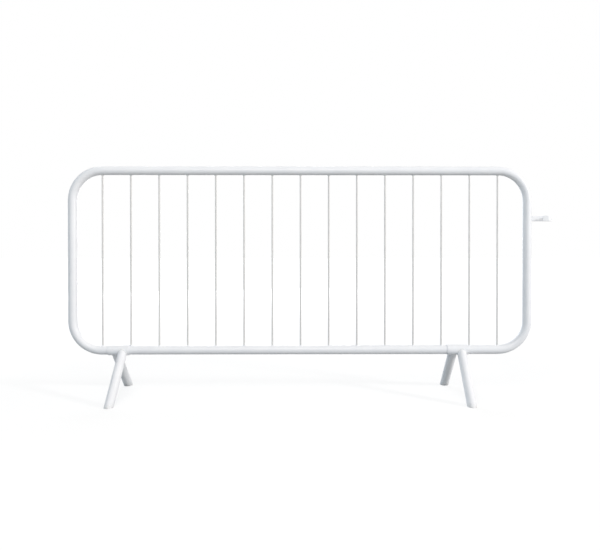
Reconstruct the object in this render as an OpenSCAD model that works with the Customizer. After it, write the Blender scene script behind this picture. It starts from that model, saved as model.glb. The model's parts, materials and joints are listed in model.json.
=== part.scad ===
// Pedestrian barrier panel: a bent tube frame with upright infill bars, two splayed
// pairs of legs on sleeves round the bottom rail, and a coupling hook on one upright.
// Millimetres. +Z is up, the front is towards -Y, the hook end is +X, the ground is Z = 0.

/* [Frame] */
// Length of the frame over its two uprights
frame_w = 2205; // [1800:5:2600]
// Height of the frame over its two rails
frame_h = 895; // [700:5:1100]
// Height of the bottom rail's underside above the ground
ground_gap = 195; // [150:5:260]
// Outer diameter of the frame and leg tube
tube_d = 42; // [34:0.5:48]
// Wall of the frame and leg tube
tube_t = 2; // [1.5:0.1:3]
// Radius of the four bends at the tube's centreline
bend_r = 140; // [110:1:180]
// Gap between the two ends of the bent tube where they meet
joint_gap = 1; // [0.5:0.1:3]

/* [Joint spigot] */
// Length of the spigot inside the tube's joint
spigot_len = 90; // [50:1:100]
// Wall of the spigot
spigot_t = 2; // [1.5:0.1:4]
// Radial clearance between the spigot and the tube's bore
spigot_clear = 0.15; // [0.05:0.05:0.4]

/* [Infill bars] */
// Diameter of a bar
bar_d = 8; // [6:0.5:12]
// Largest spacing of the bars, centre to centre
bar_pitch_max = 135; // [128:1:170]
// Distance from the end of each bend to the nearest bar
bar_inset = 2; // [0:1:20]
// Length of a bar's end that stands inside the rail, past the wall
bar_tail = 4; // [1:1:12]
// Radial clearance of a bar in its drilled hole
bar_clear = 0.2; // [0.1:0.05:0.5]

/* [Feet] */
// Length of a foot's sleeve along the bottom rail
sleeve_len = 98; // [94:1:106]
// Wall of a sleeve
sleeve_t = 2.6; // [1.5:0.1:4]
// Radial clearance between a sleeve and the rail
sleeve_clear = 0.45; // [0.1:0.05:0.8]
// Gap between a sleeve and the weld of the next bar towards the hook
foot_gap = 1; // [0.5:0.5:6]
// Distance of each leg from the middle of its sleeve: the front one towards the hook, the rear one away
leg_offset = 19; // [15:1:22]
// Slope of the legs below the horizontal, in degrees
leg_slope = 45; // [35:1:60]

/* [Coupling hook] */
// Reach of the hook past the outside of its upright
hook_reach = 95; // [90:1:140]
// Distance of the hook's middle below the top of the frame
hook_drop = 248; // [220:1:400]
// Width of the hook's flat bar
hook_w = 25; // [15:1:40]
// Thickness of the hook's flat bar
hook_t = 5; // [4:0.5:8]
// Radial clearance between the hook and a neighbour's upright
hook_clear = 1; // [0.5:0.25:3]
// Clearance of the hook's mouth, which lets a neighbour's upright in past the lip
mouth_clear = 4; // [2:0.5:8]
// Length of the hook's arm past the axis of its own upright
hook_tail = 14; // [12:1:20]

/* [Welds] */
// Size of the weld round a bar's end
bar_weld = 3; // [2:0.5:4]
// Size of the weld round a leg's coped end
leg_weld = 4; // [2:0.5:5]
// Arc of each stitch weld at a sleeve's ends, in degrees
stitch_arc = 60; // [30:1:66]
// Width of each weld between the hook's arm and the upright, from the line where they touch
hook_weld = 10; // [6:0.5:11]
// Clearance between a weld and the round tubes and bars that it joins
weld_clear = 0.15; // [0.05:0.05:0.4]

/* [Hidden] */
$fn = 96;
overcut = 1;
coat = "#f1f3f5";
bare_steel = "#9aa0a4";

// Tube and frame axes
tube_r = tube_d / 2;
bore_r = tube_r - tube_t;
axis_w = frame_w - tube_d;
frame_x = -hook_reach / 2;
left_x = frame_x - axis_w / 2;
right_x = frame_x + axis_w / 2;
bottom_z = ground_gap + tube_r;
top_z = ground_gap + frame_h - tube_r;
mid_z = (bottom_z + top_z) / 2;

// Bars, numbered from 1 at the end without the hook
bar_r = bar_d / 2;
bar_run = axis_w - 2 * (bend_r + bar_inset);
bar_count = ceil(bar_run / bar_pitch_max) + 1;
bar_pitch = bar_run / (bar_count - 1);
bar_low = bottom_z + bore_r - bar_tail;
bar_high = top_z - bore_r + bar_tail;
function bar_x(i) = frame_x - bar_run / 2 + (i - 1) * bar_pitch;
function bar_name(i) = str("infill_bar_", i < 10 ? "0" : "", i);

// Welds: none is drawn thinner than its edge, and a bar's has this radius at the rail's crown
weld_edge = 0.4;
bar_weld_r = bar_r + bar_weld + weld_edge / 2;

// Feet: the left one stands beside the second bar, the right one beside the last bar but one
sleeve_bore_r = tube_r + sleeve_clear;
sleeve_r = sleeve_bore_r + sleeve_t;
sleeve_step = sleeve_r - tube_r;
function foot_x(next_bar) = bar_x(next_bar) - bar_weld_r - foot_gap - sleeve_len / 2;
left_foot_x = foot_x(2);
right_foot_x = foot_x(bar_count - 1);
leg_len = bottom_z / sin(leg_slope) + 2 * tube_d;
front = -1;
rear = 1;
function leg_x(sleeve_x, side) = sleeve_x - side * leg_offset;
stitch_angles = [55, 125];

// Hook: its arm lies flat against the rear of the upright
hook_bore_r = tube_r + hook_clear;
hook_x = right_x + tube_r + hook_reach - hook_t - hook_bore_r;
hook_y = tube_r - hook_bore_r;
hook_z = ground_gap + frame_h - hook_drop;
hook_lip = hook_reach - hook_t - hook_bore_r - tube_d - mouth_clear;
hook_weld_root = sqrt(pow(tube_r + weld_clear, 2) - pow(tube_r - weld_edge, 2));

// A round rod along X, centred at a point on the bottom rail's axis
module rail_rod(x, r, len) {
    translate([x, 0, bottom_z])
        rotate([0, 90, 0])
            cylinder(r = r, h = len, center = true);
}

// The closed path of the frame, filled to radius r
module frame_ring(r) {
    for (z = [bottom_z, top_z])
        translate([frame_x, 0, z])
            rotate([0, 90, 0])
                cylinder(r = r, h = axis_w - 2 * bend_r, center = true);
    for (x = [left_x, right_x])
        translate([x, 0, mid_z])
            cylinder(r = r, h = top_z - bottom_z - 2 * bend_r, center = true);
    for (right = [0, 1], top = [0, 1]) {
        corner_x = right ? right_x - bend_r : left_x + bend_r;
        corner_z = top ? top_z - bend_r : bottom_z + bend_r;
        turn = top ? (right ? 0 : 90) : (right ? 270 : 180);
        translate([corner_x, 0, corner_z])
            rotate([90, 0, 0])
                rotate([0, 0, turn])
                    rotate_extrude(angle = 90)
                        translate([bend_r, 0])
                            circle(r = r);
    }
}

// One bent tube, drilled for the bars, with its ends meeting inside the left foot's sleeve
module frame_tube() {
    color(coat)
        difference() {
            frame_ring(tube_r);
            frame_ring(bore_r);
            translate([left_foot_x, 0, bottom_z])
                cube([joint_gap, tube_d + overcut, tube_d + overcut], center = true);
            for (i = [1 : bar_count])
                translate([bar_x(i), 0, bottom_z])
                    cylinder(r = bar_r + bar_clear, h = top_z - bottom_z);
        }
}

// Short tube inside the joint that lines up the frame's two ends
module joint_spigot() {
    spigot_r = bore_r - spigot_clear;
    color(bare_steel)
        difference() {
            rail_rod(left_foot_x, spigot_r, spigot_len);
            rail_rod(left_foot_x, spigot_r - spigot_t, spigot_len + overcut);
        }
}

// One infill bar, its ends through the walls of both rails
module infill_bar(i) {
    color(coat)
        translate([bar_x(i), 0, bar_low])
            cylinder(r = bar_r, h = bar_high - bar_low);
}

// Sleeve round the bottom rail that carries a pair of legs
module foot_sleeve(x) {
    color(coat)
        difference() {
            rail_rod(x, sleeve_r, sleeve_len);
            rail_rod(x, sleeve_bore_r, sleeve_len + overcut);
        }
}

// A leg's path filled to radius r, from the rail's axis down past the ground
module leg_rod(x, side, r) {
    translate([x, 0, bottom_z])
        rotate([-side * (90 + leg_slope), 0, 0])
            cylinder(r = r, h = leg_len);
}

// The ground under a leg, with room to spare all round its cut end
module ground(x) {
    translate([x, 0, -leg_len / 2])
        cube([2 * tube_d, 3 * leg_len, leg_len], center = true);
}

// A leg, coped to its sleeve at the top and cut level with the ground
module leg(sleeve_x, side) {
    x = leg_x(sleeve_x, side);
    color(coat)
        difference() {
            leg_rod(x, side, tube_r);
            leg_rod(x, side, bore_r);
            rail_rod(sleeve_x, sleeve_r, 2 * sleeve_len);
            ground(x);
        }
}

// Both legs of a foot, filled to radius r
module leg_pair(sleeve_x, r) {
    for (side = [front, rear])
        leg_rod(leg_x(sleeve_x, side), side, r);
}

// Welds round the coped ends of a foot's two legs
module leg_welds(sleeve_x) {
    color(coat)
        difference() {
            intersection() {
                leg_pair(sleeve_x, tube_r + leg_weld);
                rail_rod(sleeve_x, sleeve_r + leg_weld, sleeve_len);
            }
            rail_rod(sleeve_x, sleeve_r + weld_clear, sleeve_len + overcut);
            leg_pair(sleeve_x, tube_r + weld_clear);
        }
}

// Stitch welds on the rear of a sleeve's two ends
module sleeve_welds(sleeve_x) {
    weld_r = tube_r + weld_clear;
    color(coat)
        for (end = [0, 1], angle = stitch_angles)
            translate([sleeve_x, 0, bottom_z])
                mirror([end, 0, 0])
                    translate([sleeve_len / 2, 0, 0])
                        rotate([0, 90, 0])
                            rotate([0, 0, angle - stitch_arc / 2])
                                rotate_extrude(angle = stitch_arc)
                                    polygon([[weld_r, 0], [sleeve_r, 0], [weld_r, sleeve_step]]);
}

// Fillet welds round the bars where they enter one rail; up is 1 for the bottom rail
module bar_welds(rail_z, up) {
    color(coat)
        difference() {
            for (i = [1 : bar_count])
                translate([bar_x(i), 0, rail_z + up * tube_r])
                    mirror([0, 0, up > 0 ? 0 : 1])
                        translate([0, 0, -bar_weld])
                            cylinder(r1 = bar_r + 2 * bar_weld, r2 = bar_r + weld_edge, h = 2 * bar_weld);
            frame_ring(tube_r + weld_clear);
            for (i = [1 : bar_count])
                translate([bar_x(i), 0, bar_low])
                    cylinder(r = bar_r + weld_clear, h = bar_high - bar_low);
        }
}

// Plan of the hook: arm along the upright's rear, half turn and lip
module hook_plan() {
    arm_x = right_x - hook_tail;
    turn_r = hook_bore_r + hook_t;
    translate([arm_x, tube_r])
        square([hook_x - arm_x, hook_t]);
    translate([hook_x, hook_y])
        difference() {
            circle(r = turn_r);
            circle(r = hook_bore_r);
            translate([-2 * turn_r, -turn_r])
                square([2 * turn_r, 2 * turn_r]);
        }
    translate([hook_x - hook_lip, hook_y - turn_r])
        square([hook_lip, hook_t]);
}

// Flat-bar hook that goes round the upright of the next panel
module coupling_hook() {
    color(coat)
        translate([0, 0, hook_z - hook_w / 2])
            linear_extrude(hook_w)
                hook_plan();
}

// Welds in the two grooves between the hook's arm and the upright
module hook_welds() {
    color(coat)
        translate([right_x, 0, hook_z - hook_w / 2])
            linear_extrude(hook_w)
                for (side = [0, 1])
                    mirror([side, 0])
                        difference() {
                            translate([hook_weld_root, 0])
                                square([hook_weld - hook_weld_root, tube_r]);
                            circle(r = tube_r + weld_clear);
                        }
}

frame_tube();
joint_spigot();
for (i = [1 : bar_count])
    infill_bar(i);
foot_sleeve(left_foot_x);  // left_foot_sleeve
foot_sleeve(right_foot_x);  // right_foot_sleeve
leg(left_foot_x, front);  // left_front_leg
leg(left_foot_x, rear);  // left_rear_leg
leg(right_foot_x, front);  // right_front_leg
leg(right_foot_x, rear);  // right_rear_leg
coupling_hook();
bar_welds(top_z, -1);  // upper_bar_welds
bar_welds(bottom_z, 1);  // lower_bar_welds
leg_welds(left_foot_x);  // left_leg_welds
leg_welds(right_foot_x);  // right_leg_welds
sleeve_welds(left_foot_x);  // left_sleeve_welds
sleeve_welds(right_foot_x);  // right_sleeve_welds
hook_welds();
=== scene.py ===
import bpy
import bmesh
import json
import math
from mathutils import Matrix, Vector

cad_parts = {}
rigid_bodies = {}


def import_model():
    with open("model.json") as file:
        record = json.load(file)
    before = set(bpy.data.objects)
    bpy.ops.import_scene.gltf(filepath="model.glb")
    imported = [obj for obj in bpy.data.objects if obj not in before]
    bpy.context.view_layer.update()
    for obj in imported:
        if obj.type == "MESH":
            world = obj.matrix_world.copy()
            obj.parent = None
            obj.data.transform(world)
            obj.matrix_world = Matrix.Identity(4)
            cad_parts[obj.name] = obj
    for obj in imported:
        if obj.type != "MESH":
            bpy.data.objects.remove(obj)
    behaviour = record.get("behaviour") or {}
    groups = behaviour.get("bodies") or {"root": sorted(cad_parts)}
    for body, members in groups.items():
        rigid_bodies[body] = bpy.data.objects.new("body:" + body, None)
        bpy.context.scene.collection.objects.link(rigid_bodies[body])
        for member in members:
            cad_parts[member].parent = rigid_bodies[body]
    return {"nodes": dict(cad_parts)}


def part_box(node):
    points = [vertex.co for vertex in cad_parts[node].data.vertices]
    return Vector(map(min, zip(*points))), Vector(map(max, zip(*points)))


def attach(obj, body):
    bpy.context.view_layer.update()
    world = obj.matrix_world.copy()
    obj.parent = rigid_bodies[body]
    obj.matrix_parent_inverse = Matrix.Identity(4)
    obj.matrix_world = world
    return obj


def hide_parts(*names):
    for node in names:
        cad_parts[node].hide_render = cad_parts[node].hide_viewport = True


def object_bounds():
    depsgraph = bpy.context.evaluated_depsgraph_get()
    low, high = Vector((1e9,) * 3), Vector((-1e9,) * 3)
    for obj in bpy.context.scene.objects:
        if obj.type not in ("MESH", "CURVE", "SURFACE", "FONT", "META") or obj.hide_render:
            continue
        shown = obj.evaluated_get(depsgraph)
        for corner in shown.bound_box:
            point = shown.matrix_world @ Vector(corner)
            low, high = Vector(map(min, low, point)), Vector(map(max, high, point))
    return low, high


# an empty file first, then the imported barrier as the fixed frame
for startUpThing in list(bpy.data.objects):
    bpy.data.objects.remove(startUpThing)
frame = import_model()
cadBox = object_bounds()
scene = bpy.context.scene
print("frame:", len(frame["nodes"]), "nodes,", [round(s, 4) for s in cadBox[1] - cadBox[0]], "m")

mm = 0.001
along = Vector((1, 0, 0))  # the rails run this way


# sizes and places that the frame already holds

def middleOf(node):
    low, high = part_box(node)
    return (low + high) / 2


frameLow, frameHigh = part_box("frame_tube")
tubeRadius = (frameHigh.y - frameLow.y) / 2
lowerRailZ = frameLow.z + tubeRadius
upperRailZ = frameHigh.z - tubeRadius
hookPostX = frameHigh.x - tubeRadius
barNames = sorted(name for name in frame["nodes"] if name.startswith("infill_bar_"))
barLow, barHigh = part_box(barNames[0])
barRadius = (barHigh.y - barLow.y) / 2


# materials

def linearOf(hexCode):
    channels = [int(hexCode[i:i + 2], 16) / 255 for i in (1, 3, 5)]
    return [c / 12.92 if c <= 0.04045 else ((c + 0.055) / 1.055) ** 2.4 for c in channels] + [1.0]


def perMetre(sizeMm):
    return 1000 / sizeMm  # texture scale that gives features of this size


def addNode(tree, kind, sockets=None, **settings):
    node = tree.nodes.new("ShaderNode" + kind)
    for name, value in settings.items():
        setattr(node, name, value)
    for name, value in (sockets or {}).items():
        if isinstance(value, bpy.types.NodeSocket):
            tree.links.new(value, node.inputs[name])
        else:
            node.inputs[name].default_value = value
    return node


def newMaterial(name):
    material = bpy.data.materials.new(name)
    material.use_nodes = True
    material.node_tree.nodes.clear()
    return material, material.node_tree


# Satin white polyester powder coat, sprayed on and baked. The eye sees a cool white film with a
# soft sheen, faint clouds where the film is thinner, and the low ripple called orange peel.
powderCoat = {
    "white": "#f2f4f9",
    "thinFilm": "#edeff5",       # the primer shows through a little
    "whiterFilm": "#f7f8fc",      # whiter than the tube's white; it lifts the flat bar's tone
    "cloudMm": 90,               # size of the thin and thick patches
    "cloudRange": (0.35, 0.7),   # noise levels between the two films, as for the other ranges
    "peelMm": 6,                 # real orange peel is about 2 mm, drawn coarser so that it shows
    "peelHeightMm": 0.02,
    "swellMm": 45,               # slow waviness of the drawn tube under the film
    "swellHeightMm": 0.015,
    "ior": 1.5,
    "roughness": (0.34, 0.46),
    "sheenPatchMm": 30,
    "sheenRange": (0.3, 0.7),
    "scuff": "#b9b8b3",          # dust and rubbed paint at the ground
    "scuffTopMm": 22,
    "scuffGrainMm": 7,
    "scuffRange": (0.42, 0.62),
    "scuffRoughens": 0.3,
}


def makePowderCoat(name, films=("white", "thinFilm"), scuffShare=0.0):
    material, tree = newMaterial(name)
    place = addNode(tree, "TexCoord").outputs["Object"]
    clouds = addNode(tree, "TexNoise", {"Vector": place, "Scale": perMetre(powderCoat["cloudMm"]),
                                        "Detail": 4.0, "Roughness": 0.55})
    low, high = powderCoat["cloudRange"]
    film = addNode(tree, "MapRange", {"Value": clouds.outputs["Fac"], "From Min": low, "From Max": high})
    colour = addNode(tree, "MixRGB", {"Fac": film.outputs["Result"],
                                      "Color1": linearOf(powderCoat[films[0]]),
                                      "Color2": linearOf(powderCoat[films[1]])}).outputs["Color"]
    patches = addNode(tree, "TexNoise", {"Vector": place, "Scale": perMetre(powderCoat["sheenPatchMm"]),
                                         "Detail": 3.0})
    low, high = powderCoat["sheenRange"]
    smooth, rough = powderCoat["roughness"]
    sheen = addNode(tree, "MapRange", {"Value": patches.outputs["Fac"], "From Min": low, "From Max": high,
                                       "To Min": smooth, "To Max": rough}).outputs["Result"]
    if scuffShare:
        height = addNode(tree, "SeparateXYZ", {"Vector": place}).outputs["Z"]
        nearGround = addNode(tree, "MapRange", {"Value": height, "From Min": 0.0,
                                                "From Max": powderCoat["scuffTopMm"] * mm,
                                                "To Min": scuffShare, "To Max": 0.0})
        grit = addNode(tree, "TexNoise", {"Vector": place, "Detail": 6.0, "Roughness": 0.7,
                                          "Scale": perMetre(powderCoat["scuffGrainMm"])})
        low, high = powderCoat["scuffRange"]
        worn = addNode(tree, "MapRange", {"Value": grit.outputs["Fac"], "From Min": low, "From Max": high})
        mask = addNode(tree, "Math", {0: nearGround.outputs["Result"], 1: worn.outputs["Result"]},
                       operation="MULTIPLY").outputs["Value"]
        colour = addNode(tree, "MixRGB", {"Fac": mask, "Color1": colour,
                                          "Color2": linearOf(powderCoat["scuff"])}).outputs["Color"]
        sheen = addNode(tree, "Math", {0: mask, 1: powderCoat["scuffRoughens"], 2: sheen},
                        operation="MULTIPLY_ADD").outputs["Value"]
    swell = addNode(tree, "TexNoise", {"Vector": place, "Scale": perMetre(powderCoat["swellMm"]),
                                       "Detail": 1.0})
    slowBump = addNode(tree, "Bump", {"Height": swell.outputs["Fac"], "Strength": 1.0,
                                      "Distance": powderCoat["swellHeightMm"] * mm})
    peel = addNode(tree, "TexNoise", {"Vector": place, "Scale": perMetre(powderCoat["peelMm"]),
                                      "Detail": 2.0})
    peelBump = addNode(tree, "Bump", {"Height": peel.outputs["Fac"], "Strength": 1.0,
                                      "Distance": powderCoat["peelHeightMm"] * mm,
                                      "Normal": slowBump.outputs["Normal"]})
    shader = addNode(tree, "BsdfPrincipled", {"Base Color": colour, "Roughness": sheen,
                                              "IOR": powderCoat["ior"],
                                              "Normal": peelBump.outputs["Normal"]})
    addNode(tree, "OutputMaterial", {"Surface": shader.outputs["BSDF"]})
    return material


# The same coat where it runs over a weld, a touch greyer and glossier than the tube. Darker patches, laid
# by noise, are painted shade meant for the hollows between the ripples.
beadCoat = {"crest": "#eceef1", "hollowShade": "#dfe3e7", "hollowShadeMm": 4, "hollowShadeRange": (0.4, 0.7),
            "roughness": 0.32, "spatterMm": 2.5, "spatterHeightMm": 0.15}


def makeBeadCoat(name):
    material, tree = newMaterial(name)
    place = addNode(tree, "TexCoord").outputs["Object"]
    # darker patches: painted shade for the hollows between the ripples, placed by noise
    hollowShadePatches = addNode(tree, "TexNoise", {"Vector": place, "Scale": perMetre(beadCoat["hollowShadeMm"]),
                                       "Detail": 3.0})
    low, high = beadCoat["hollowShadeRange"]
    mask = addNode(tree, "MapRange", {"Value": hollowShadePatches.outputs["Fac"], "From Min": low, "From Max": high})
    colour = addNode(tree, "MixRGB", {"Fac": mask.outputs["Result"],
                                      "Color1": linearOf(beadCoat["crest"]),
                                      "Color2": linearOf(beadCoat["hollowShade"])})
    spatter = addNode(tree, "TexNoise", {"Vector": place, "Scale": perMetre(beadCoat["spatterMm"]),
                                         "Detail": 2.0})
    bump = addNode(tree, "Bump", {"Height": spatter.outputs["Fac"], "Strength": 1.0,
                                  "Distance": beadCoat["spatterHeightMm"] * mm})
    shader = addNode(tree, "BsdfPrincipled", {"Base Color": colour.outputs["Color"],
                                              "Roughness": beadCoat["roughness"],
                                              "IOR": powderCoat["ior"],
                                              "Normal": bump.outputs["Normal"]})
    addNode(tree, "OutputMaterial", {"Surface": shader.outputs["BSDF"]})
    return material


# Bright drawn steel, uncoated inside the joint. The eye sees grey metal with fine lines along the
# way that it was pulled through the die.
drawnSteel = {"bright": "#a4a8ab", "dull": "#83878a", "lineMm": 0.8, "lineLengthMm": 60,
              "roughness": (0.3, 0.48)}


def makeDrawnSteel(name):
    material, tree = newMaterial(name)
    place = addNode(tree, "TexCoord").outputs["Object"]
    stretch = (drawnSteel["lineMm"] / drawnSteel["lineLengthMm"], 1.0, 1.0)
    drawn = addNode(tree, "Mapping", {"Vector": place, "Scale": stretch})
    lines = addNode(tree, "TexNoise", {"Vector": drawn.outputs["Vector"], "Detail": 3.0,
                                       "Scale": perMetre(drawnSteel["lineMm"])})
    colour = addNode(tree, "MixRGB", {"Fac": lines.outputs["Fac"], "Color1": linearOf(drawnSteel["bright"]),
                                      "Color2": linearOf(drawnSteel["dull"])})
    low, high = drawnSteel["roughness"]
    polish = addNode(tree, "MapRange", {"Value": lines.outputs["Fac"], "To Min": low, "To Max": high})
    shader = addNode(tree, "BsdfPrincipled", {"Base Color": colour.outputs["Color"], "Metallic": 1.0,
                                              "Roughness": polish.outputs["Result"]})
    addNode(tree, "OutputMaterial", {"Surface": shader.outputs["BSDF"]})
    return material


# The coat on the thin bars, a shade greyer than the tubes' white. The eye sees a plainer, greyer white,
# with faint streaks along the drawn bar.
barCoat = {"white": "#dedede", "streak": "#d6d6d6", "streakMm": 3, "streakLengthMm": 300,
           "roughness": 0.45, "peelMm": 3, "peelHeightMm": 0.01}


def makeBarCoat(name):
    material, tree = newMaterial(name)
    place = addNode(tree, "TexCoord").outputs["Object"]
    stretch = (1.0, 1.0, barCoat["streakMm"] / barCoat["streakLengthMm"])
    upright = addNode(tree, "Mapping", {"Vector": place, "Scale": stretch})
    streaks = addNode(tree, "TexNoise", {"Vector": upright.outputs["Vector"], "Detail": 3.0,
                                         "Scale": perMetre(barCoat["streakMm"])})
    colour = addNode(tree, "MixRGB", {"Fac": streaks.outputs["Fac"], "Color1": linearOf(barCoat["white"]),
                                      "Color2": linearOf(barCoat["streak"])})
    peel = addNode(tree, "TexNoise", {"Vector": place, "Scale": perMetre(barCoat["peelMm"]),
                                      "Detail": 2.0})
    bump = addNode(tree, "Bump", {"Height": peel.outputs["Fac"], "Strength": 1.0,
                                  "Distance": barCoat["peelHeightMm"] * mm})
    shader = addNode(tree, "BsdfPrincipled", {"Base Color": colour.outputs["Color"],
                                              "Roughness": barCoat["roughness"],
                                              "IOR": powderCoat["ior"],
                                              "Normal": bump.outputs["Normal"]})
    addNode(tree, "OutputMaterial", {"Surface": shader.outputs["BSDF"]})
    return material


tubeCoat = makePowderCoat("polyesterPowderCoatOnTube")
thinBarCoat = makeBarCoat("polyesterPowderCoatOnBar")
flatBarCoat = makePowderCoat("polyesterPowderCoatOnFlatBar", films=("whiterFilm", "white"))
footCoat = makePowderCoat("polyesterPowderCoatScuffed", scuffShare=0.6)
weldCoat = makeBeadCoat("polyesterPowderCoatOverWeld")
spigotSteel = makeDrawnSteel("drawnSteelBare")
print("materials:", [m.name for m in (tubeCoat, thinBarCoat, flatBarCoat, footCoat, weldCoat, spigotSteel)])


# mesh helpers

def joinRows(bm, rows, closedRows, closedAlong):
    # quads between neighbouring rows of points; open ends get a flat cap
    loops = [[bm.verts.new(p) for p in row] for row in rows]
    rowCount = len(loops)
    pointCount = len(loops[0])
    for i in range(rowCount if closedAlong else rowCount - 1):
        one = loops[i]
        two = loops[(i + 1) % rowCount]
        for j in range(pointCount if closedRows else pointCount - 1):
            k = (j + 1) % pointCount
            bm.faces.new((one[j], one[k], two[k], two[j]))
    if not closedAlong:
        bm.faces.new(loops[0])
        bm.faces.new(loops[-1])


def addPiece(name, bm, material, slotName, *nodes):
    bmesh.ops.recalc_face_normals(bm, faces=bm.faces)
    mesh = bpy.data.meshes.new(name)
    bm.to_mesh(mesh)
    bm.free()
    mesh.materials.append(material)
    mesh.shade_smooth()
    piece = bpy.data.objects.new(name, mesh)
    scene.collection.objects.link(piece)
    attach(piece, "root")
    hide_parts(*nodes)
    return piece


def keepFlatsFlat(piece):
    # large faces set the shading, so a small eased edge doesn't smear across them
    weighting = piece.modifiers.new("weightedNormals", "WEIGHTED_NORMAL")
    weighting.keep_sharp = True
    weighting.weight = 100


def arcPoints(centreA, centreB, radius, startDeg, endDeg, steps):
    points = []
    for i in range(steps + 1):
        angle = math.radians(startDeg + (endDeg - startDeg) * i / steps)
        points.append((centreA + radius * math.cos(angle), centreB + radius * math.sin(angle)))
    return points


# foot sleeves: tube ends eased by the saw's deburring and the coat

sleeveLook = {"easedEdge": 0.6 * mm, "around": 96, "edgeSteps": 4}


def makeSleeve(node):
    low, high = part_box(node)
    half = (high.x - low.x) / 2
    outer = (high.y - low.y) / 2
    inner = min(math.hypot(v.co.y, v.co.z - lowerRailZ) for v in frame["nodes"][node].data.vertices)
    eased = sleeveLook["easedEdge"]
    steps = sleeveLook["edgeSteps"]
    # the wall's section: distance along the rail, radius
    section = arcPoints(half - eased, outer - eased, eased, 90, 0, steps)
    section += arcPoints(half - eased, inner + eased, eased, 0, -90, steps)
    section += arcPoints(eased - half, inner + eased, eased, -90, -180, steps)
    section += arcPoints(eased - half, outer - eased, eased, 180, 90, steps)
    centre = middleOf(node)
    rows = []
    for i in range(sleeveLook["around"]):
        turn = 2 * math.pi * i / sleeveLook["around"]
        radial = Vector((0, math.cos(turn), math.sin(turn)))
        rows.append([centre + along * x + radial * r for x, r in section])
    bm = bmesh.new()
    joinRows(bm, rows, True, True)
    piece = addPiece(node + "_eased", bm, tubeCoat, "white_powder_coat", node)
    keepFlatsFlat(piece)
    return outer, half


sleeveRadius, sleeveHalf = makeSleeve("left_foot_sleeve")
makeSleeve("right_foot_sleeve")
print("sleeves made, radius", round(sleeveRadius / mm, 2), "mm")


# legs: tube coped to the sleeve, sawn level with the ground

legLook = {"wall": 2 * mm, "slopeDeg": 45, "easedEdge": 0.6 * mm, "around": 96, "lengthSteps": 12,
           "rimShares": (0.3, 0.7, 1.0)}  # points on the rounded rim, from the outside to the sawn face
legSides = (("front", -1), ("rear", 1))


def legAxes(side):
    # down the leg, and square to it in the plane of the two legs; side is -1 in front
    slope = math.radians(legLook["slopeDeg"])
    down = Vector((0, side * math.cos(slope), -math.sin(slope)))
    square = Vector((0, side * math.sin(slope), math.cos(slope)))
    return down, square


def legRadial(square, turn):
    return along * math.cos(turn) + square * math.sin(turn)


def copeDistance(radius, turn):
    # from the rail's axis down the leg to the sleeve's skin
    return math.sqrt(sleeveRadius ** 2 - (radius * math.sin(turn)) ** 2)


def groundDistance(radius, turn, down, square):
    return -(lowerRailZ + radius * math.sin(turn) * square.z) / down.z


def makeLeg(node, side):
    top = Vector((middleOf(node).x, 0, lowerRailZ))
    down, square = legAxes(side)
    outer = tubeRadius
    inner = outer - legLook["wall"]
    eased = legLook["easedEdge"]
    steps = legLook["lengthSteps"]
    rows = []
    for i in range(legLook["around"]):
        turn = 2 * math.pi * i / legLook["around"]
        radial = legRadial(square, turn)
        outerTop = copeDistance(outer, turn)
        innerTop = copeDistance(inner, turn)
        outerEnd = groundDistance(outer, turn, down, square)
        innerEnd = groundDistance(inner, turn, down, square)
        row = []
        for j in range(steps + 1):
            t = outerTop + (outerEnd - eased - outerTop) * j / steps
            row.append(top + radial * outer + down * t)
        for share in legLook["rimShares"]:
            r = outer - eased * (1 - math.cos(share * math.pi / 2))
            lift = eased * (1 - math.sin(share * math.pi / 2))
            row.append(top + radial * r + down * (groundDistance(r, turn, down, square) - lift))
        row.append(top + radial * inner + down * innerEnd)
        row.append(top + radial * inner + down * innerTop)
        rows.append(row)
    bm = bmesh.new()
    joinRows(bm, rows, True, True)
    piece = addPiece(node + "_coped", bm, footCoat, "white_powder_coat", node)
    keepFlatsFlat(piece)


for sideName, side in legSides:
    for end in ("left", "right"):
        makeLeg(end + "_" + sideName + "_leg", side)
print("legs made")


# coupling hook: hot-rolled flat bar with rounded edges, bent round a half turn

hookLook = {"thick": 5 * mm, "edgeRadius": 1.2 * mm, "edgeSteps": 4, "turnSteps": 40, "armSteps": 10,
            "endEase": 0.5 * mm}


def hookLipTip(node):
    # the foremost points of the solid belong to the lip; its tip is the one nearest the post
    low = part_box(node)[0]
    points = [v.co for v in frame["nodes"][node].data.vertices]
    return min(p.x for p in points if p.y < low.y + hookLook["thick"] / 2)


def drawnIn(size, ease):
    return size - math.copysign(min(ease, abs(size)), size)


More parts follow.
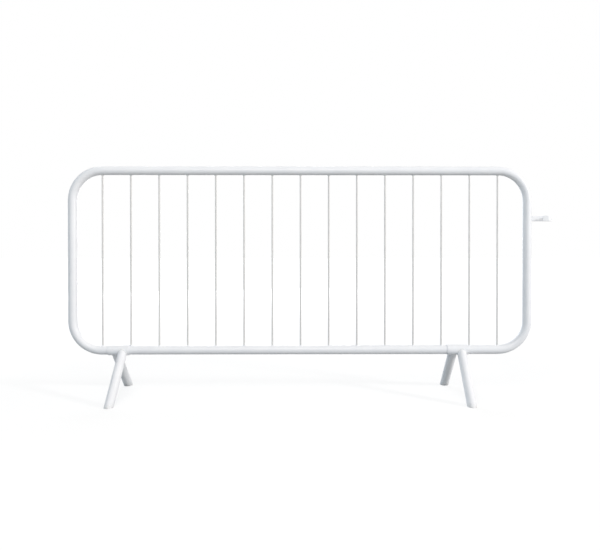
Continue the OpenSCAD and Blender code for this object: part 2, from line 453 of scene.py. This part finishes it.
def makeHook(node):
    low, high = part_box(node)
    thick = hookLook["thick"]
    turnRadius = (high.y - low.y - thick) / 2  # to the middle of the bar
    centreX = high.x - turnRadius - thick / 2
    centreY = (low.y + high.y) / 2
    lipX = hookLipTip(node)
    # the bar's middle line in plan with its sideways direction, from the arm's end to the lip
    route = []
    for i in range(hookLook["armSteps"] + 1):
        x = low.x + (centreX - low.x) * i / hookLook["armSteps"]
        route.append((Vector((x, high.y - thick / 2, 0)), Vector((0, 1, 0))))
    for i in range(1, hookLook["turnSteps"]):
        angle = math.pi / 2 - math.pi * i / hookLook["turnSteps"]
        outward = Vector((math.cos(angle), math.sin(angle), 0))
        route.append((Vector((centreX, centreY, 0)) + outward * turnRadius, outward))
    for x in (centreX, (centreX + lipX) / 2, lipX):
        route.append((Vector((x, low.y + thick / 2, 0)), Vector((0, -1, 0))))
    halfWide = (high.z - low.z) / 2
    edge = hookLook["edgeRadius"]
    steps = hookLook["edgeSteps"]
    section = arcPoints(halfWide - edge, thick / 2 - edge, edge, 0, 90, steps)
    section += arcPoints(edge - halfWide, thick / 2 - edge, edge, 90, 180, steps)
    section += arcPoints(edge - halfWide, edge - thick / 2, edge, 180, 270, steps)
    section += arcPoints(halfWide - edge, edge - thick / 2, edge, 270, 360, steps)
    middleZ = (low.z + high.z) / 2
    ease = hookLook["endEase"]

    def barSection(station, shift, shrink):
        place, outward = station
        start = place + along * shift + Vector((0, 0, middleZ))
        return [start + outward * drawnIn(o, shrink) + Vector((0, 0, drawnIn(z, shrink)))
                for z, o in section]

    # both sheared ends face the other way along the rail, and their edges are lightly eased
    rows = [barSection(route[0], 0, ease), barSection(route[0], ease, 0)]
    rows += [barSection(station, 0, 0) for station in route[1:-1]]
    rows += [barSection(route[-1], ease, 0), barSection(route[-1], 0, ease)]
    bm = bmesh.new()
    joinRows(bm, rows, True, False)
    piece = addPiece(node + "_bent", bm, flatBarCoat, "white_powder_coat", node)
    keepFlatsFlat(piece)


makeHook("coupling_hook")
print("hook made")


# weld beads: a rippled ridge along each joint, its toes sunk into both skins

beadLook = {"crown": 0.5 * mm, "ripple": 0.3 * mm, "rippleStep": 2.6 * mm, "crescent": 0.55,
            "sink": 0.25 * mm, "across": 10, "stopLump": 0.5 * mm, "stopLength": 5 * mm,
            "endShare": 0.05}  # squared size of a bead's blunt ends


def beadRows(stations, closed, stopAt):
    # stations are toe, toe and root along the joint; the ripples are crescents, as a moving pool leaves
    middles = [(a + b) / 2 for a, b, root in stations]
    count = len(middles)
    gaps = [(middles[(i + 1) % count] - middles[i]).length for i in range(count if closed else count - 1)]
    total = sum(gaps)
    ripples = max(1, round(total / beadLook["rippleStep"]))
    rows = []
    travelled = 0.0
    for i, (toeA, toeB, root) in enumerate(stations):
        share = travelled / total
        outward = (middles[i] - root).normalized()
        fromStop = abs(share - stopAt)
        if closed:
            fromStop = min(fromStop, 1 - fromStop)
        lump = beadLook["stopLump"] * math.exp(-(fromStop * total / beadLook["stopLength"]) ** 2)
        row = [root]
        for j in range(beadLook["across"] + 1):
            s = j / beadLook["across"]
            arch = math.sin(math.pi * s)
            crest = abs(math.sin(math.pi * (share * ripples + beadLook["crescent"] * arch)))
            rise = arch * (beadLook["crown"] + lump + beadLook["ripple"] * crest)
            row.append(toeA.lerp(toeB, s) + outward * rise)
        rows.append(row)
        if i < len(gaps):
            travelled += gaps[i]
    return rows


def taperedEnd(share, taper):
    # what is left of the bead's full size at this share of its length
    fromEnd = min(share, 1 - share) / taper
    return math.sqrt(max(beadLook["endShare"], 1 - max(0.0, 1 - fromEnd) ** 2))


barWeldLook = {"leg": 3 * mm, "around": 90, "stopStep": 0.37}  # the stop moves on from bar to bar


def sunkInRail(point, up):
    # the point moved from the level of the rail's axis to just under its skin
    point.z += up * (math.sqrt(tubeRadius ** 2 - point.y ** 2) - beadLook["sink"])
    return point


def makeBarWelds(node, railZ, up):
    # up is 1 where the bars stand on the rail, -1 where they hang from it
    bm = bmesh.new()
    leg = barWeldLook["leg"]
    sink = beadLook["sink"]
    for number, name in enumerate(barNames):
        centre = Vector((middleOf(name).x, 0, railZ))
        stations = []
        for i in range(barWeldLook["around"]):
            turn = 2 * math.pi * i / barWeldLook["around"]
            spread = Vector((math.cos(turn), math.sin(turn), 0))
            toeRail = sunkInRail(centre + spread * (barRadius + leg), up)
            root = sunkInRail(centre + spread * (barRadius - sink), up)
            toeBar = root + Vector((0, 0, up * (leg + sink)))
            stations.append((toeRail, toeBar, root))
        stopAt = (barWeldLook["stopStep"] * number) % 1
        joinRows(bm, beadRows(stations, True, stopAt), True, True)
    addPiece(node + "_rippled", bm, weldCoat, "coated_weld", node)


makeBarWelds("upper_bar_welds", upperRailZ, -1)
makeBarWelds("lower_bar_welds", lowerRailZ, 1)

legWeldLook = {"leg": 3.6 * mm, "around": 300, "stopAt": 0.2, "headingStep": 0.001}


def legCorner(down, square, turn):
    # where the leg's skin meets the sleeve's
    return legRadial(square, turn) * tubeRadius + down * copeDistance(tubeRadius, turn)


def makeLegWelds(node, end):
    bm = bmesh.new()
    sink = beadLook["sink"]
    step = legWeldLook["headingStep"]
    for sideName, side in legSides:
        top = Vector((middleOf(end + "_" + sideName + "_leg").x, 0, lowerRailZ))
        down, square = legAxes(side)
        stations = []
        for i in range(legWeldLook["around"]):
            turn = 2 * math.pi * i / legWeldLook["around"]
            here = legCorner(down, square, turn)
            heading = legCorner(down, square, turn + step) - legCorner(down, square, turn - step)
            heading.normalize()
            legNormal = legRadial(square, turn)
            sleeveNormal = Vector((0, here.y, here.z)).normalized()
            offLeg = heading.cross(sleeveNormal).normalized()
            if offLeg.dot(legNormal) < 0:
                offLeg.negate()
            toeLeg = here + down * legWeldLook["leg"] - legNormal * sink
            toeSleeve = here + offLeg * legWeldLook["leg"]
            seated = Vector((0, toeSleeve.y, toeSleeve.z)).normalized() * (sleeveRadius - sink)
            toeSleeve = Vector((toeSleeve.x, seated.y, seated.z))
            root = here - legNormal * sink - sleeveNormal * sink
            stations.append((top + toeLeg, top + toeSleeve, top + root))
        joinRows(bm, beadRows(stations, True, legWeldLook["stopAt"]), True, True)
    addPiece(node + "_rippled", bm, weldCoat, "coated_weld", node)


makeLegWelds("left_leg_welds", "left")
makeLegWelds("right_leg_welds", "right")

stitchLook = {"anglesDeg": (55, 125), "arcDeg": 60, "steps": 64, "taper": 0.12, "stopAt": 1.0}


def makeStitches(node, sleeveNode):
    # short beads on the rear of the sleeve's two ends
    bm = bmesh.new()
    sink = beadLook["sink"]
    centre = middleOf(sleeveNode)
    step = sleeveRadius - tubeRadius
    for outward in (-1, 1):
        for angleDeg in stitchLook["anglesDeg"]:
            stations = []
            for i in range(stitchLook["steps"] + 1):
                share = i / stitchLook["steps"]
                turn = math.radians(angleDeg + stitchLook["arcDeg"] * (share - 0.5))
                radial = Vector((0, math.sin(turn), -math.cos(turn)))
                full = taperedEnd(share, stitchLook["taper"])
                face = centre + along * (outward * (sleeveHalf - sink))
                toeRail = face + along * (outward * (step * full + sink)) + radial * (tubeRadius - sink)
                toeSleeve = face + radial * (tubeRadius + (step - sink) * full)
                root = face + radial * (tubeRadius - sink)
                stations.append((toeRail, toeSleeve, root))
            joinRows(bm, beadRows(stations, False, stitchLook["stopAt"]), True, False)
    addPiece(node + "_rippled", bm, weldCoat, "coated_weld", node)


makeStitches("left_sleeve_welds", "left_foot_sleeve")
makeStitches("right_sleeve_welds", "right_foot_sleeve")

# the root and the toes are measured sideways from the post's middle
hookWeldLook = {"rootOut": 5 * mm, "toeArm": 10 * mm, "toePost": 9.5 * mm, "steps": 40,
                "endGap": 0.6 * mm, "taper": 0.08, "stopAt": 1.0}


def makeHookWelds(node, hookNode):
    # the two flared grooves between the round post and the flat arm
    low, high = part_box(hookNode)
    sink = beadLook["sink"]
    armY = high.y - hookLook["thick"] + sink
    rootOut = hookWeldLook["rootOut"]
    gap = hookWeldLook["endGap"]
    bm = bmesh.new()
    for outward in (-1, 1):
        stations = []
        for i in range(hookWeldLook["steps"] + 1):
            share = i / hookWeldLook["steps"]
            z = low.z + gap + (high.z - low.z - 2 * gap) * share
            full = taperedEnd(share, hookWeldLook["taper"])
            armOut = rootOut + (hookWeldLook["toeArm"] - rootOut) * full
            postOut = rootOut + (hookWeldLook["toePost"] - rootOut) * full
            postY = math.sqrt(tubeRadius ** 2 - postOut ** 2) - sink
            toeArm = Vector((hookPostX + outward * armOut, armY, z))
            toePost = Vector((hookPostX + outward * postOut, postY, z))
            root = Vector((hookPostX + outward * rootOut, armY, z))
            stations.append((toeArm, toePost, root))
        joinRows(bm, beadRows(stations, False, hookWeldLook["stopAt"]), True, False)
    addPiece(node + "_rippled", bm, weldCoat, "coated_weld", node)


makeHookWelds("hook_welds", "coupling_hook")
print("weld beads made")


# the frame tube and the bars keep their solids and take the coat
frame["nodes"]["frame_tube"].data.materials[0] = tubeCoat
for name in barNames:
    frame["nodes"][name].data.materials[0] = thinBarCoat
frame["nodes"]["joint_spigot"].data.materials[0] = spigotSteel
print("coat laid on the tube and", len(barNames), "bars")


# studio: white surroundings, a low key from the right, broad fills in front and behind, a pale floor

studio = {
    "background": "#ffffff",
    "coolSide": "#89c7eb",      # the sky's tint in front on the left
    "paleSide": "#cfdbdc",      # behind on the right
    "warmAbove": "#fff3e6",     # and overhead
    "coolSideDeg": -72,         # to the right of the line from the front, as for the lamps
    "overheadFrom": 0.2,        # sine of the height where the overhead tint starts
    "skyStrength": 0.62,
    "floorBounce": "#9e9e9c",   # what the floor throws back on the barrier
    "floorShade": "#8d8e90",    # what it shows of the lamps and shadows
    "floorGlow": (0.75, 0.96),  # the rest of its white, under the barrier and far off
    "glowReach": (1.5, 6.0),    # metres from the barrier's middle
    "floorSize": 40.0,
}
# square soft boxes aimed at the barrier's middle; sideDeg is to the right of the line from the front
keyLamp = {"tint": "#fffaf5", "strength": 1.6, "size": 1.2, "distance": 12.0,
           "sideDeg": 65, "heightDeg": 15}
fillLamp = {"tint": "#fff5eb", "strength": 1.16, "size": 2.2, "distance": 5.0,
            "sideDeg": -6, "heightDeg": 34}
backLamp = {"tint": "#fdfdff", "strength": 1.7, "size": 4.0, "distance": 6.0,
            "sideDeg": -165, "heightDeg": 15}


def seenDirectly(tree):
    # 1 for what the camera sees straight, in a reflection or through glass
    rays = addNode(tree, "LightPath").outputs
    mirrored = addNode(tree, "Math", {0: rays["Is Glossy Ray"], 1: rays["Is Transmission Ray"]},
                       operation="MAXIMUM")
    return addNode(tree, "Math", {0: rays["Is Camera Ray"], 1: mirrored.outputs["Value"]},
                   operation="MAXIMUM").outputs["Value"]


def makeSurroundings():
    world = bpy.data.worlds.new("whiteSurroundings")
    scene.world = world
    world.use_nodes = True
    tree = world.node_tree
    tree.nodes.clear()
    direction = addNode(tree, "TexCoord").outputs["Generated"]
    coolSide = math.radians(studio["coolSideDeg"])
    towardsCool = (math.sin(coolSide), -math.cos(coolSide), 0)
    facing = addNode(tree, "VectorMath", {0: direction, 1: towardsCool}, operation="DOT_PRODUCT")
    coolShare = addNode(tree, "MapRange", {"Value": facing.outputs["Value"],
                                           "From Min": -1.0, "From Max": 1.0})
    sideTint = addNode(tree, "MixRGB", {"Fac": coolShare.outputs["Result"],
                                        "Color1": linearOf(studio["paleSide"]),
                                        "Color2": linearOf(studio["coolSide"])})
    height = addNode(tree, "SeparateXYZ", {"Vector": direction}).outputs["Z"]
    overhead = addNode(tree, "MapRange", {"Value": height, "From Min": studio["overheadFrom"],
                                          "From Max": 1.0})
    tint = addNode(tree, "MixRGB", {"Fac": overhead.outputs["Result"], "Color1": sideTint.outputs["Color"],
                                    "Color2": linearOf(studio["warmAbove"])})
    sky = addNode(tree, "Background", {"Color": tint.outputs["Color"], "Strength": studio["skyStrength"]})
    white = addNode(tree, "Background", {"Color": linearOf(studio["background"]), "Strength": 1.0})
    both = addNode(tree, "MixShader", {0: seenDirectly(tree), 1: sky.outputs["Background"],
                                       2: white.outputs["Background"]})
    addNode(tree, "OutputWorld", {"Surface": both.outputs["Shader"]})


def makeFloor():
    half = studio["floorSize"] / 2
    corners = ((-half, -half, 0), (half, -half, 0), (half, half, 0), (-half, half, 0))
    bm = bmesh.new()
    bm.faces.new([bm.verts.new(corner) for corner in corners])
    mesh = bpy.data.meshes.new("paleFloor")
    bm.to_mesh(mesh)
    bm.free()
    material, tree = newMaterial("paleStudioFloor")
    bounce = addNode(tree, "BsdfDiffuse", {"Color": linearOf(studio["floorBounce"])})
    place = addNode(tree, "TexCoord").outputs["Object"]
    away = addNode(tree, "VectorMath", {0: place}, operation="LENGTH")
    nearGlow, farGlow = studio["floorGlow"]
    nearReach, farReach = studio["glowReach"]
    strength = addNode(tree, "MapRange", {"Value": away.outputs["Value"],
                                          "From Min": nearReach, "From Max": farReach,
                                          "To Min": nearGlow, "To Max": farGlow})
    glow = addNode(tree, "Emission", {"Color": linearOf(studio["background"]),
                                      "Strength": strength.outputs["Result"]})
    shade = addNode(tree, "BsdfDiffuse", {"Color": linearOf(studio["floorShade"])})
    lit = addNode(tree, "AddShader", {0: glow.outputs["Emission"], 1: shade.outputs["BSDF"]})
    both = addNode(tree, "MixShader", {0: seenDirectly(tree), 1: bounce.outputs["BSDF"],
                                       2: lit.outputs["Shader"]})
    addNode(tree, "OutputMaterial", {"Surface": both.outputs["Shader"]})
    mesh.materials.append(material)
    floor = bpy.data.objects.new("paleFloor", mesh)
    scene.collection.objects.link(floor)


def makeLamp(name, look):
    side = math.radians(look["sideDeg"])
    height = math.radians(look["heightDeg"])
    level = math.cos(height)
    towards = Vector((math.sin(side) * level, -math.cos(side) * level, math.sin(height)))
    light = bpy.data.lights.new(name, "AREA")
    light.size = look["size"]
    light.energy = look["strength"] * math.pi * look["distance"] ** 2  # strength is in W/m2 at the middle
    light.color = linearOf(look["tint"])[:3]
    lamp = bpy.data.objects.new(name, light)
    lamp.location = (cadBox[0] + cadBox[1]) / 2 + towards * look["distance"]
    lamp.rotation_euler = towards.to_track_quat("Z", "Y").to_euler()
    lamp.visible_camera = False
    scene.collection.objects.link(lamp)


makeSurroundings()
makeFloor()
makeLamp("lowKeyFromRight", keyLamp)
makeLamp("broadFillInFront", fillLamp)
makeLamp("broadFillBehind", backLamp)
scene.view_settings.view_transform = "Standard"
print("studio lit")


# camera, fitted to the photograph's 600 x 550 frame

shot = {
    "place": (0.0224, -3.0492, 0.7516),
    "tiltDownDeg": 0.401,
    "turnDeg": -0.537,
    "focalPx": 640.0,
    "axisPx": (321.26, 241.95),  # where the lens axis meets the picture
    "framePx": (600, 550),
}


def makeCamera():
    wide, tall = shot["framePx"]
    lens = bpy.data.cameras.new("photographView")
    lens.sensor_fit = "HORIZONTAL"
    lens.lens = shot["focalPx"] / wide * lens.sensor_width
    lens.shift_x = (wide / 2 - shot["axisPx"][0]) / wide
    lens.shift_y = (shot["axisPx"][1] - tall / 2) / wide
    camera = bpy.data.objects.new("photographView", lens)
    camera.location = shot["place"]
    camera.rotation_euler = (math.radians(90 - shot["tiltDownDeg"]), 0, math.radians(shot["turnDeg"]))
    scene.collection.objects.link(camera)
    scene.camera = camera


makeCamera()
print("camera set")
